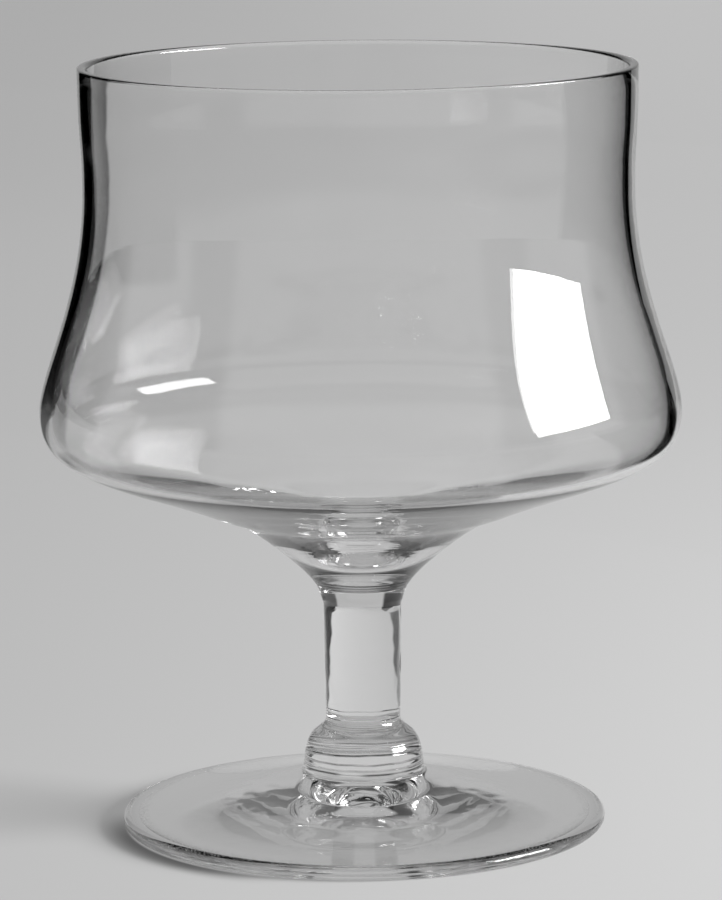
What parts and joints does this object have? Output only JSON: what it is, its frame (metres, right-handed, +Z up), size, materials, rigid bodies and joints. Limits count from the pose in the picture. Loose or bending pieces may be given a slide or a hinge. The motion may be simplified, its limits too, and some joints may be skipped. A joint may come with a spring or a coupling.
{
  "type": "seafood cocktail glass",
  "caption": "Clear blown stemware with a wide waisted bowl, short solid stem, bell-shaped knop and raised round foot, for serving seafood cocktails or iced starters",
  "frame": {"origin": "On the axis of revolution, in the plane of the flat ring that the foot stands on", "axes": "+Z runs up the axis from the foot to the rim; X and Y are alike because every piece is turned about Z"},
  "size_m": [0.106, 0.106, 0.127],
  "materials": {
    "foot": "gloss",
    "knop": "gloss",
    "stem": "gloss",
    "bowl": "gloss"
  },
  "bodies": {
    "root": {"foot": "foot", "knop": "knop", "stem": "stem", "bowl": "bowl"}
  },
  "joints": []
}
